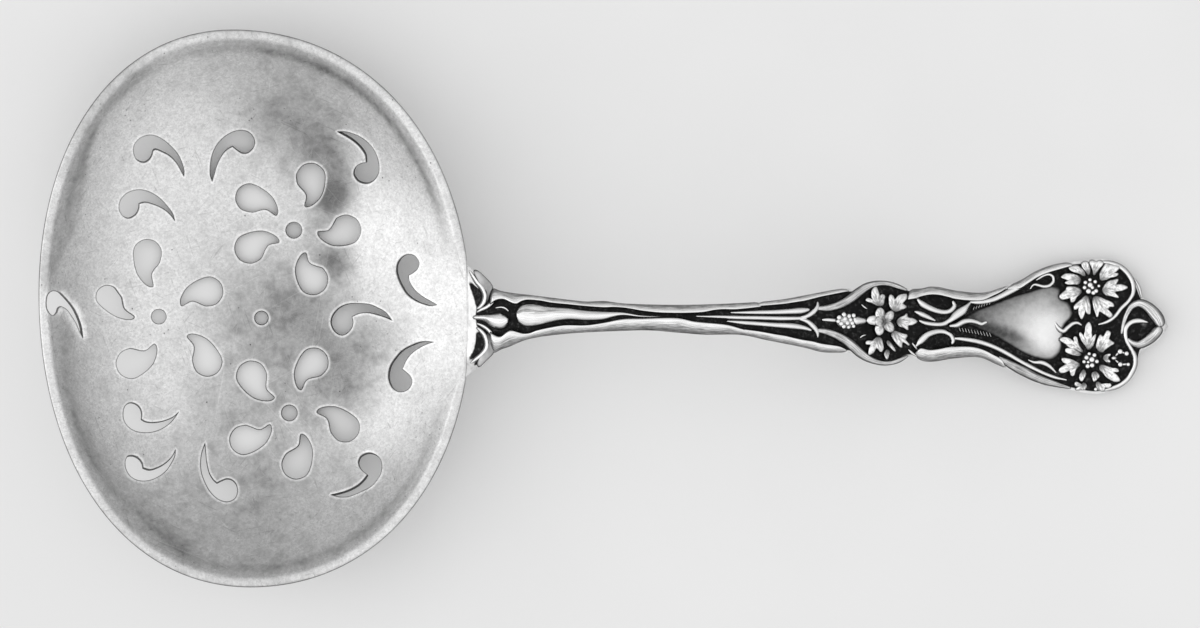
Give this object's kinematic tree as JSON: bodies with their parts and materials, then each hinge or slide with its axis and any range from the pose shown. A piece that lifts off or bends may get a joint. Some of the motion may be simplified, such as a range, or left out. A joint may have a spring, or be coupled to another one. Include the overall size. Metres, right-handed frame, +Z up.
{
  "type": "bonbon spoon",
  "caption": "Short silver serving spoon: a wide oval bowl pierced with flowers and commas, and an arched handle with scrolls, blossoms and a shield in relief",
  "frame": {"origin": "on the table under the middle of the spoon's length and width", "axes": "+X runs from the bowl to the handle's tip, +Y runs to the spoon's left seen from above with the tip to the right, +Z is up out of the bowl"},
  "size_m": [0.125, 0.0616, 0.0149],
  "materials": {
    "satin_silver": "worn satin silver with fine scratches, small pits and cloudy grey patina",
    "bright_silver": "polished silver crests of the relief, rubbed bright",
    "dark_silver": "silver ground of the handle, darkened in the recesses"
  },
  "bodies": {
    "root": {"bowl": "satin_silver", "bud": "bright_silver", "bud_stem": "bright_silver", "centre_fork": "bright_silver", "finial_inner": "bright_silver", "finial_outer": "bright_silver", "handle_blank": "dark_silver", "lower_blossom": "bright_silver", "lower_blossom_heart": "bright_silver", "lower_curl": "bright_silver", "lower_lobe_rim": "bright_silver", "lower_main_stem": "bright_silver", "lower_neck_strap": "bright_silver", "lower_reed": "bright_silver", "lower_shank_strap": "bright_silver", "lower_terminal_stem": "bright_silver", "lower_terminal_vine": "bright_silver", "lower_vine_loop": "bright_silver", "lower_waist_strap": "bright_silver", "mid_blossom": "bright_silver", "mid_blossom_heart": "bright_silver", "neck_curl_lower": "bright_silver", "neck_curl_upper": "bright_silver", "neck_pod": "bright_silver", "neck_pod_curl": "bright_silver", "shank_leaf": "bright_silver", "shield": "bright_silver", "shield_tendril": "bright_silver", "side_bud": "bright_silver", "small_leaf": "bright_silver", "upper_blossom": "bright_silver", "upper_blossom_heart": "bright_silver", "upper_curl": "bright_silver", "upper_lobe_rim": "bright_silver", "upper_main_stem": "bright_silver", "upper_neck_strap": "bright_silver", "upper_reed": "bright_silver", "upper_shank_strap": "bright_silver", "upper_terminal_stem": "bright_silver", "upper_terminal_vine": "bright_silver", "upper_vine_loop": "bright_silver", "upper_waist_strap": "bright_silver", "vine_leaf": "bright_silver", "vine_tendril": "bright_silver"}
  },
  "joints": []
}
